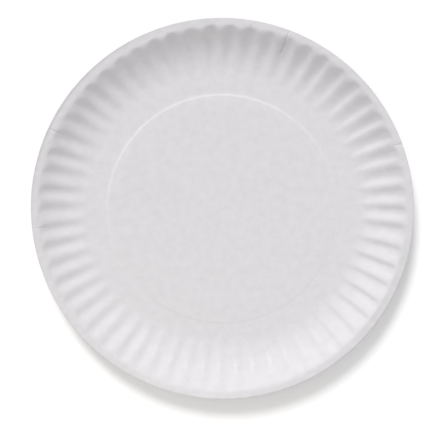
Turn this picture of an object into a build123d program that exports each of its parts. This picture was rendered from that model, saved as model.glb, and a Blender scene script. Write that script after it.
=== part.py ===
from build123d import *

import os
from math import acos, atan2, degrees, tan

# Disposable paper plate, pressed from one round of plain white board.
# Millimetres. Z is the axis of the plate, its foot stands on Z = 0 and its well opens upward.

plate_diameter = 228.6  # over the cut edge, a nine-inch plate
plate_height = 13.5  # foot to the top of the lip
board = 0.35  # thickness of the paperboard
panel_diameter = 138.0  # raised centre panel
panel_rise = 0.5  # height of the panel above the foot ring
step_run = 1.7  # sloping step round the panel
foot_width = 9.5  # flat ring that stands on the table, out to the crests
lip_width = 5.2  # flat lip, in to the crests
flute_count = 58  # flutes pressed into the wall
flute_start = 3.8  # how much further out the flute floors start to climb than the crests
flute_end = 1.4  # how much further out the flute floors meet the lip than the crests
floor_share = 0.34  # share of each flute's width that is its flat floor

rim_radius = plate_diameter / 2
panel_radius = panel_diameter / 2
foot_radius = panel_radius + step_run + foot_width
lip_radius = rim_radius - lip_width
climb = plate_height - board
half_pitch = 180 / flute_count
turns = [360 / flute_count * flute for flute in range(flute_count)]


def bend_radius(run):
    # Arc that leaves the foot level and climbs to the lip within this run.
    return (run * run + climb * climb) / (2 * climb)


crest_bend = bend_radius(lip_radius - foot_radius)
floor_bend = bend_radius(lip_radius + flute_end - foot_radius - flute_start)


def wall_line(start, bend, offset, angle):
    # Line up the wall in one plane through the axis, moved out by the offset.
    sweep = degrees(acos((bend - climb + offset) / (bend + offset)))
    with BuildLine(Plane.XZ.rotated((0, 0, angle))) as line:
        CenterArc((start, board + bend), bend + offset, -90, sweep)
    return line.edge()


def dish(offset):
    # Solid filling of the fluted dish, up to the lip. The offset takes it from the inner to the outer skin.
    edge_angle = half_pitch * floor_share
    crest = wall_line(foot_radius, crest_bend, offset, -half_pitch)
    near = wall_line(foot_radius + flute_start, floor_bend, offset, -edge_angle)
    far = wall_line(foot_radius + flute_start, floor_bend, offset, edge_angle)
    next_crest = wall_line(foot_radius, crest_bend, offset, half_pitch)
    flute = [
        Face.make_surface_from_curves(crest, near),
        Face.make_surface_from_curves(near, far),
        Face.make_surface_from_curves(far, next_crest),
    ]
    skin = [face.rotate(Axis.Z, turn) for turn in turns for face in flute]
    for end in (0, 1):
        corners = [crest @ end, near @ end, far @ end]
        outline = [corner.rotate(Axis.Z, turn) for turn in turns for corner in corners]
        skin.append(Face(Wire.make_polygon(outline)))
    return Solid(Shell(skin))


outside = dish(board)
well = dish(0)
upright = (Align.CENTER, Align.CENTER, Align.MIN)
step_slip = board * tan(atan2(panel_rise, step_run) / 2)  # keeps the board's thickness along the step

with BuildPart() as plate:
    # The fluted dish with its lip, emptied by the same dish one board thickness further in.
    add(outside)
    with Locations((0, 0, plate_height - board)):
        Cylinder(rim_radius, board, align=upright)
    add(well, mode=Mode.SUBTRACT)
    # Centre panel, pressed up from below.
    with Locations((0, 0, board)):
        Cone(panel_radius + step_run + step_slip, panel_radius + step_slip, panel_rise, align=upright)
    Cone(panel_radius + step_run, panel_radius, panel_rise, align=upright, mode=Mode.SUBTRACT)

plate.part.label = "plate"
os.makedirs("parts", exist_ok=True)
export_step(plate.part, "parts/plate.step")
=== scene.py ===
import bisect
import math
import random

import bmesh
import bpy
from mathutils import Matrix, Vector, noise


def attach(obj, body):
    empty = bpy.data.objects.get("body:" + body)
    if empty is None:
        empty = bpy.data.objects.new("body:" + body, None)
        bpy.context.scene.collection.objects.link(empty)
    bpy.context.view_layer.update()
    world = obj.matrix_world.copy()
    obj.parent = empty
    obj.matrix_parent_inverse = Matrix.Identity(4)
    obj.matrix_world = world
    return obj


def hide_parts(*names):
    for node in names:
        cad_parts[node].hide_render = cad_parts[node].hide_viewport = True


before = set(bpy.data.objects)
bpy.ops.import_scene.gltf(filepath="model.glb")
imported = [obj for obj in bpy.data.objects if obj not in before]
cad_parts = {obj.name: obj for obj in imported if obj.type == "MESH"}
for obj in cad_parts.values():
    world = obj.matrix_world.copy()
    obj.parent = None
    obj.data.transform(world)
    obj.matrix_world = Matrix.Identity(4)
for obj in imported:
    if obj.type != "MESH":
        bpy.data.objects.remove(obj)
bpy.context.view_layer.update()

mm = 0.001


def toLinear(hexColour):  # sRGB hex to linear, opaque
    channels = [int(hexColour[i:i + 2], 16) / 255 for i in (1, 3, 5)]
    return [c / 12.92 if c <= 0.04045 else ((c + 0.055) / 1.055) ** 2.4 for c in channels] + [1.0]


def addNode(tree, kind, links=None, **settings):  # a setting is the node's own, or the value of a socket
    node = tree.nodes.new(kind)
    for name, value in settings.items():
        if hasattr(node, name):
            setattr(node, name, value)
        else:
            node.inputs[name.replace("_", " ")].default_value = value
    for socket, source in (links or {}).items():
        tree.links.new(source, node.inputs[socket])
    return node


# uncoated paperboard, felted and pressed dry: matt, cloudy white with a faint fibre tooth,
# and a soft gleam only on the crests of the flutes, which the die rubbed smooth
paperboard = {
    "light": "#EDE9ED",
    "dull": "#DADADB",
    "cloudMm": 5.0,  # formation, the cloudy look of the felted fibres
    "cloudDetail": 4.0,
    "cloudRoughness": 0.6,
    "toothMm": 0.9,  # fibre tooth, really about 0.3 mm, drawn coarser so that it shows
    "toothDetail": 3.0,
    "toothRoughness": 0.55,
    "toothDepthMm": 0.02,
    "toothStrength": 0.5,
    "lipMm": (109.7, 110.9),  # painted shade: between these radii the board is painted a little darker, for the lip
    "lipShadeTone": 0.972,
    "cutMm": (114.2, 114.8),  # and darker still between these, at the outer edge
    "edgeDarkTone": 0.96,
    "scoreMm": 69.9,  # painted highlight: the ring round the panel is painted a little whiter, for light caught on its step
    "scoreReachMm": (0.6, 1.4),  # fully so this near to its line, and no more this far off
    "scoreHighlightTone": 1.017,
    "roughness": 0.88,
    "burnished": 0.28,  # roughness of the rubbed crests
    "ior": 1.47,
}


def makePaperboard():
    b = paperboard
    material = bpy.data.materials.new("uncoatedPaperboard")
    material.use_nodes = True
    tree = material.node_tree
    tree.nodes.clear()
    place = addNode(tree, "ShaderNodeTexCoord").outputs["Object"]
    cloud = addNode(tree, "ShaderNodeTexNoise", {"Vector": place}, Scale=1 / (b["cloudMm"] * mm),
                    Detail=b["cloudDetail"], Roughness=b["cloudRoughness"])
    tint = addNode(tree, "ShaderNodeMix", {"Factor": cloud.outputs["Fac"]}, data_type="RGBA",
                   A=toLinear(b["dull"]), B=toLinear(b["light"]))
    reach = addNode(tree, "ShaderNodeVectorMath", {0: place}, operation="LENGTH").outputs["Value"]
    # painted shade: the lip is darkened in the colour
    lip = addNode(tree, "ShaderNodeMapRange", {"Value": reach}, From_Min=b["lipMm"][0] * mm,
                  From_Max=b["lipMm"][1] * mm, To_Min=1.0, To_Max=b["lipShadeTone"])
    # the outermost band of the board is darker still
    cut = addNode(tree, "ShaderNodeMapRange", {"Value": reach}, From_Min=b["cutMm"][0] * mm,
                  From_Max=b["cutMm"][1] * mm, To_Min=1.0, To_Max=b["edgeDarkTone"])
    # painted highlight: a whiter line along the ring round the panel
    off = addNode(tree, "ShaderNodeMath", {0: reach}, operation="SUBTRACT")
    off.inputs[1].default_value = b["scoreMm"] * mm
    off = addNode(tree, "ShaderNodeMath", {0: off.outputs[0]}, operation="ABSOLUTE")
    score = addNode(tree, "ShaderNodeMapRange", {"Value": off.outputs[0]},
                    From_Min=b["scoreReachMm"][0] * mm, From_Max=b["scoreReachMm"][1] * mm,
                    To_Min=b["scoreHighlightTone"], To_Max=1.0)
    tone = addNode(tree, "ShaderNodeMath", {0: lip.outputs[0], 1: cut.outputs[0]}, operation="MULTIPLY")
    tone = addNode(tree, "ShaderNodeMath", {0: tone.outputs[0], 1: score.outputs[0]}, operation="MULTIPLY")
    board = addNode(tree, "ShaderNodeMix", {"A": tint.outputs["Result"], "B": tone.outputs[0]},
                    data_type="RGBA", blend_type="MULTIPLY", Factor=1.0)
    tooth = addNode(tree, "ShaderNodeTexNoise", {"Vector": place}, Scale=1 / (b["toothMm"] * mm),
                    Detail=b["toothDetail"], Roughness=b["toothRoughness"])
    bump = addNode(tree, "ShaderNodeBump", {"Height": tooth.outputs["Fac"]}, Strength=b["toothStrength"],
                   Distance=b["toothDepthMm"] * mm)
    rubbed = addNode(tree, "ShaderNodeAttribute", attribute_name="rubbed")
    rough = addNode(tree, "ShaderNodeMapRange", {"Value": rubbed.outputs["Fac"]}, To_Min=b["roughness"],
                    To_Max=b["burnished"])
    finish = {"Base Color": board.outputs["Result"], "Roughness": rough.outputs["Result"],
              "Normal": bump.outputs["Normal"]}
    shader = addNode(tree, "ShaderNodeBsdfPrincipled", finish, IOR=b["ior"])
    addNode(tree, "ShaderNodeOutputMaterial", {"Surface": shader.outputs["BSDF"]})
    return material


# the plate, in millimetres, with angles clockwise from the top of the plate in degrees
# three numbers in brackets are an unevenness: where it is most, how far it spreads and how much it is
plate = {
    "rim": 114.3,
    "height": 13.5,
    "board": 0.35,
    "panel": 69.0,
    "stepRun": 1.7,  # the slope round the panel
    "rise": 0.22,  # of the panel above the foot ring
    "riseMore": ((5.0, 75.0, 0.3), (292.0, 18.0, 0.68)),
    "foot": 80.2,  # where the crests of the flutes start to climb
    "footIn": (190.0, 28.0, 4.0),
    "crestTop": 109.3,  # where they meet the lip
    "crestRound": 2.6,  # how softly crests and floors turn into the lip
    "floorRound": 0.9,
    "lipWider": ((326.0, 44.0, 1.45), (120.0, 24.0, 1.2), (198.0, 20.0, -0.5)),
    "lipLower": (320.0, 50.0, 1.3),
    "lipSlope": 0.07,  # the lip's fall towards the wall
    "lipTip": ((187.0, 35.0, 0.16), (112.0, 25.0, -0.12), (355.0, 40.0, -0.06)),
    "edgeCurl": (298.0, 40.0, 0.6),
    "edgeDrop": 0.1,
    "curlWidth": 1.4,
    "curlPower": 1.5,  # above 1 the curl keeps to the very edge
    "ripple": 0.18,  # unevenness of the lip, and how far apart it comes
    "rippleSpan": 3.2,
    "fluteCount": 58,
    "fluteStart": 3.6,  # how much further out the floors start than the crests
    "fluteEnd": 1.4,  # how much further out the floors meet the lip
    "fluteEndMore": (5.0, 28.0, 0.9),
    "fluteDepth": ((80.0, 46.0, 0.55), (146.0, 18.0, -0.6), (192.0, 22.0, -0.35), (20.0, 20.0, -0.2)),
    "arcShare": 0.9,  # how much of its quarter turn the wall's arc may use
    "straightOn": 2.0,  # slope of the wall past its arc
    "leanTurn": 90.0,  # flutes on this side have one flank steeper than the other
    "leanShare": 0.25,
    "turnSpread": 0.06,  # differences in place from flute to flute, as shares of their pitch
    "turnMore": (165.0, 22.0, 0.18),
    "depthSpread": 0.15,
    "seed": 11,
    "rubbedAt": 95.0,  # where the crests are rubbed, how far in and out, and over how much of a flute's depth
    "rubbedReach": 9.0,
    "rubbedShare": 0.3,
    "creases": (  # angle, inner and outer radius, lean across the radius, width and depth
        (20.65, 108.5, 114.3, -0.3, 0.4, 0.3),
        (20.5, 99.0, 110.4, 0.0, 0.5, 1.2),
        (9.3, 106.5, 111.5, 0.0, 0.5, 0.3),
        (68.8, 108.5, 114.3, 1.0, 0.4, 0.3),
        (295.75, 105.0, 114.3, 0.0, 0.45, 0.45),
        (264.6, 105.0, 112.5, 0.2, 0.45, 0.25),
        (228.0, 106.0, 113.5, -0.6, 0.5, 0.12),
    ),
    "creaseFadeIn": 3.0,  # a crease deepens over a third of its length
    "creaseFadeOut": 4.0,  # and fades over a quarter of it
    "creasePast": 1.1,  # to a tenth past its end
    "cutStrip": 2.5,  # faces this near to a crease are cut along it, from a little before its start
    "cutBefore": 1.5,
    "cutSteps": (-1.6, -0.8, 0, 0.8, 1.6),  # in widths of the crease
    "cutSnap": 0.01,
    "stepsPerFlute": 12,  # of the mesh, as are the rings below
    "edgeRings": (0, 0.3, 0.6, 0.9, 1.2, 1.6, 2.4, 3.2),  # in from the cut edge
    "lipRings": (4.0, 0.4, 15),  # the first, in from the cut edge, their spacing and their number
    "wallRings": 24,
    "footRings": (78.5, 76.5, 74.5, 72.5),
    "stepRings": 7,
    "panelRings": (60.0, 34.0),
}


def clamp(share):
    return min(max(share, 0), 1)


def towards(angle, turn):  # 1 at the angle called turn, -1 opposite it
    return math.cos(angle - math.radians(turn))


def swell(angle, spot):  # a gentle unevenness, most at its own angle
    turn, spread, amount = spot
    away = math.degrees(math.acos(max(min(towards(angle, turn), 1), -1)))
    return amount * math.exp(-(away / spread) ** 2)


def swells(angle, spots):
    return sum(swell(angle, spot) for spot in spots)


def wallBend(run, climb):  # radius of the arc that leaves the foot level and climbs to the lip
    return (run * run + climb * climb) / (2 * climb)


def easeLow(a, b, width):  # the lower of two heights, rounded where they meet
    h = clamp(0.5 + 0.5 * (b - a) / width)
    return b + (a - b) * h - width * h * (1 - h)


def creaseDip(r, angle, crease):  # how far a crease sinks the board here
    p = plate
    turn, inner, outer, lean, width, depth = crease
    if r < inner or towards(angle, turn) < 0:
        return 0
    along = (r - inner) / (outer - inner)
    side = r * math.sin(angle - math.radians(turn)) - lean * (along - 0.5)
    ends = clamp(along * p["creaseFadeIn"]) * clamp((p["creasePast"] - along) * p["creaseFadeOut"])
    return depth * ends * math.exp(-(side / width) ** 2)


def boardTop(r, angle, w):  # height of the upper face, w is 0 on a crest and 1 on a floor
    p = plate
    foot = p["foot"] - swell(angle, p["footIn"])
    if r < foot:  # panel, step and foot ring
        share = clamp((p["panel"] + p["stepRun"] - r) / p["stepRun"])
        rise = p["rise"] + swells(angle, p["riseMore"]) * min(r / p["panel"], 1) ** 2
        return p["board"] + rise * share * share * (3 - 2 * share)
    rimTop = p["height"] - swell(angle, p["lipLower"])
    start = foot + w * p["fluteStart"]
    more = swell(angle, p["fluteEndMore"])
    end = p["crestTop"] - swells(angle, p["lipWider"]) - more / 2 + min(w, 1) * (p["fluteEnd"] + more)
    bend = wallBend(end - start, rimTop - p["board"])
    out = max(r - start, 0)
    arc = min(out, p["arcShare"] * bend)
    wall = p["board"] + bend - math.sqrt(bend * bend - arc * arc) + (out - arc) * p["straightOn"]
    lip = rimTop - (p["lipSlope"] + swells(angle, p["lipTip"])) * (p["rim"] - r)
    ease = p["crestRound"] + min(w, 1) * (p["floorRound"] - p["crestRound"])
    top = easeLow(wall, lip, ease)
    place = Vector((r * math.sin(angle), r * math.cos(angle), 0)) / p["rippleSpan"]
    top += p["ripple"] * clamp(r - end) * noise.noise(place)
    edge = max(1 - (p["rim"] - r) / p["curlWidth"], 0)
    top += (swell(angle, p["edgeCurl"]) - p["edgeDrop"]) * edge ** p["curlPower"]
    return top - sum(creaseDip(r, angle, crease) for crease in p["creases"])


def ringRadii():  # from the cut edge to the centre
    p = plate
    first, gap, count = p["lipRings"]
    radii = [p["rim"] - back for back in p["edgeRings"]]
    radii += [p["rim"] - first - i * gap for i in range(count)]
    wall = radii[-1] - p["foot"]
    radii += [radii[-1] - i * wall / p["wallRings"] for i in range(1, p["wallRings"] + 1)]
    radii += p["footRings"]
    step = p["panel"] + p["stepRun"]
    radii += [step - i * p["stepRun"] / p["stepRings"] for i in range(p["stepRings"] + 1)]
    return radii + [*p["panelRings"], 0]


def cutAlong(bm, crease):  # gives the flat mesh edges that run with a crease
    p = plate
    turn, inner, outer, lean, width = crease[:5]
    out = Vector((math.sin(math.radians(turn)), math.cos(math.radians(turn)), 0))
    across = Vector((out.y, -out.x, 0))
    start = out * inner - across * lean / 2
    end = out * outer + across * lean / 2
    side = (end - start).normalized().cross(Vector((0, 0, 1)))
    near = []
    for f in bm.faces:
        middle = f.calc_center_median()
        if abs((middle - start).dot(side)) < p["cutStrip"] and inner - p["cutBefore"] < middle.dot(out):
            near += [f, *f.edges, *f.verts]
    near = list(dict.fromkeys(near))  # each of them once, always in the same order
    for step in p["cutSteps"]:
        near = bmesh.ops.bisect_plane(bm, geom=near, dist=p["cutSnap"], plane_no=side,
                                      plane_co=start + side * step * width)["geom"]


def fluteLean(angle):  # how far a floor lies from the middle between its crests, as a share of the pitch
    side = math.radians(plate["leanTurn"]) - angle
    return plate["leanShare"] * math.sin(2 * side) * max(math.cos(side), 0)


def makePlate():
    p = plate
    dice = random.Random(p["seed"])
    pitch = 2 * math.pi / p["fluteCount"]
    crests = []
    for i in range(p["fluteCount"]):
        shift = dice.uniform(-1, 1) * p["turnSpread"]
        shift += swell(i * pitch, p["turnMore"]) - fluteLean(i * pitch) / 2
        crests.append((i + shift) * pitch)
    crests.append(crests[0] + 2 * math.pi)
    depths = [1 + dice.uniform(-1, 1) * p["depthSpread"] for _ in range(p["fluteCount"])]
    bm = bmesh.new()
    rubbed = bm.verts.layers.float.new("rubbed")
    radii = ringRadii()
    bmesh.ops.create_circle(bm, segments=p["fluteCount"] * p["stepsPerFlute"], radius=radii[0])
    edges = list(bm.edges)
    for outer, inner in zip(radii, radii[1:]):  # ring by ring inward
        grown = bmesh.ops.extrude_edge_only(bm, edges=edges)["geom"]
        verts = [g for g in grown if isinstance(g, bmesh.types.BMVert)]
        edges = [g for g in grown if isinstance(g, bmesh.types.BMEdge) and len(g.link_faces) == 1]
        if inner:
            bmesh.ops.scale(bm, verts=verts, vec=(inner / outer, inner / outer, 1))
        else:
            bmesh.ops.pointmerge(bm, verts=verts, merge_co=(0, 0, 0))
    for crease in p["creases"]:
        cutAlong(bm, crease)
    for v in bm.verts:  # press the flat round
        angle = math.atan2(v.co.x, v.co.y)
        if angle < crests[0]:
            angle += 2 * math.pi
        i = bisect.bisect(crests, angle) - 1
        u = (angle - crests[i]) / (crests[i + 1] - crests[i])
        floor = 0.5 + fluteLean(angle)
        u = u / floor / 2 if u < floor else 1 - (1 - u) / (1 - floor) / 2
        dip = math.sin(math.pi * u) ** 2  # 0 on a crest and 1 on a floor
        w = dip * depths[i] * (1 + swells(angle, p["fluteDepth"]))
        r = math.hypot(v.co.x, v.co.y)
        v.co.z = boardTop(r, angle, w)
        onCrest = max(1 - dip / p["rubbedShare"], 0)
        v[rubbed] = onCrest * max(1 - abs(r - p["rubbedAt"]) / p["rubbedReach"], 0)
    bmesh.ops.recalc_face_normals(bm, faces=bm.faces)
    if sum(f.normal.z for f in bm.faces) < 0:
        bmesh.ops.reverse_faces(bm, faces=bm.faces)
    bmesh.ops.solidify(bm, geom=list(bm.faces), thickness=p["board"])
    bmesh.ops.scale(bm, verts=bm.verts, vec=(mm, mm, mm))
    for f in bm.faces:
        f.smooth = True
    mesh = bpy.data.meshes.new("plate")
    bm.to_mesh(mesh)
    bm.free()
    piece = bpy.data.objects.new("pressedPlate", mesh)
    bpy.context.collection.objects.link(piece)
    piece.data.materials.append(makePaperboard())
    return piece


piece = makePlate()
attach(piece, "root")
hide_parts("plate")
print("plate:", len(piece.data.polygons), "faces")

# floor, light and camera, in metres and degrees where the name says nothing else
studio = {
    "floorSize": 6.0,
    "floorDropMm": 0.05,  # keeps the floor just clear of the foot
    "floorGrey": "#E6E6E6",
    "floorWhite": 1.2,  # what the camera sees, so that the lit floor is white and the shadow stays
    "ambient": 0.586,
    "roomWhite": 1.0,  # what the camera sees of the room
    "keyPower": 1.58,  # a window
    "keyColour": "#FFFFFF",
    "keySpread": 18.0,
    "keyTurn": 14.0,  # to the left of the plate's top
    "keyHeight": 40.0,
    "bouncePower": 0.02,  # a warm card low in front of the plate
    "bounceColour": "#FFDDB4",
    "bouncePlace": (-0.12, -0.19, 0.1),
    "bounceSize": 0.2,
    "sensorMm": 36.0,
    "lensMm": 83.1,
    "cameraMm": (30.6, 63.5, 613.4),  # above the plate, a little past its middle
    "aimMm": (-0.62, -4.21, 13.4),
}


def seenRays(tree):  # 1 for what the camera sees, straight or in a gloss or a glass
    path = addNode(tree, "ShaderNodeLightPath").outputs
    seen = addNode(tree, "ShaderNodeMath", {0: path["Is Camera Ray"], 1: path["Is Glossy Ray"]},
                   operation="MAXIMUM")
    seen = addNode(tree, "ShaderNodeMath", {0: seen.outputs[0], 1: path["Is Transmission Ray"]},
                   operation="MAXIMUM")
    return seen.outputs[0]


def makeFloor():
    bm = bmesh.new()
    bmesh.ops.create_grid(bm, x_segments=1, y_segments=1, size=studio["floorSize"] / 2)
    bmesh.ops.translate(bm, verts=bm.verts, vec=(0, 0, -studio["floorDropMm"] * mm))
    mesh = bpy.data.meshes.new("floor")
    bm.to_mesh(mesh)
    bm.free()
    floor = bpy.data.objects.new("floor", mesh)
    bpy.context.collection.objects.link(floor)
    material = bpy.data.materials.new("paleFloor")  # matt paint, so that only the shadow shows on it
    material.use_nodes = True
    tree = material.node_tree
    tree.nodes.clear()
    tone = addNode(tree, "ShaderNodeMix", {"Factor": seenRays(tree)}, data_type="RGBA",
                   A=toLinear(studio["floorGrey"]), B=[studio["floorWhite"]] * 3 + [1.0])
    matt = addNode(tree, "ShaderNodeBsdfDiffuse", {"Color": tone.outputs["Result"]})
    addNode(tree, "ShaderNodeOutputMaterial", {"Surface": matt.outputs["BSDF"]})
    floor.data.materials.append(material)


def makeLamp(name, kind, place, power, colour):  # aimed at the plate
    lamp = bpy.data.lights.new(name, kind)
    lamp.energy = power
    lamp.color = toLinear(colour)[:3]
    holder = bpy.data.objects.new(name, lamp)
    holder.location = place
    holder.rotation_euler = place.to_track_quat("Z", "Y").to_euler()
    bpy.context.collection.objects.link(holder)
    return lamp


def makeLights():
    s = studio
    world = bpy.data.worlds.new("softRoom")
    world.use_nodes = True
    tree = world.node_tree
    tree.nodes.clear()
    level = addNode(tree, "ShaderNodeMix", {"Factor": seenRays(tree)}, A=s["ambient"], B=s["roomWhite"])
    room = addNode(tree, "ShaderNodeBackground", {"Strength": level.outputs["Result"]}, Color=(1, 1, 1, 1))
    addNode(tree, "ShaderNodeOutputWorld", {"Surface": room.outputs["Background"]})
    bpy.context.scene.world = world
    turn = math.radians(s["keyTurn"])
    up = math.radians(s["keyHeight"])
    place = Vector((-math.sin(turn) * math.cos(up), math.cos(turn) * math.cos(up), math.sin(up)))
    window = makeLamp("window", "SUN", place, s["keyPower"], s["keyColour"])
    window.angle = math.radians(s["keySpread"])
    card = makeLamp("bounce", "AREA", Vector(s["bouncePlace"]), s["bouncePower"], s["bounceColour"])
    card.size = s["bounceSize"]


def makeCamera():
    lens = bpy.data.cameras.new("camera")
    lens.sensor_fit = "HORIZONTAL"
    lens.sensor_width = studio["sensorMm"]
    lens.lens = studio["lensMm"]
    camera = bpy.data.objects.new("camera", lens)
    stand = Vector(studio["cameraMm"]) * mm
    back = (stand - Vector(studio["aimMm"]) * mm).normalized()
    right = Vector((0, 1, 0)).cross(back).normalized()  # the plate's +Y stays up in the picture
    camera.location = stand
    camera.rotation_euler = Matrix((right, back.cross(right), back)).transposed().to_euler()
    bpy.context.collection.objects.link(camera)
    bpy.context.scene.camera = camera


makeFloor()
makeLights()
makeCamera()
bpy.context.scene.view_settings.view_transform = "Standard"
print("studio: floor, window light, bounce card and camera")
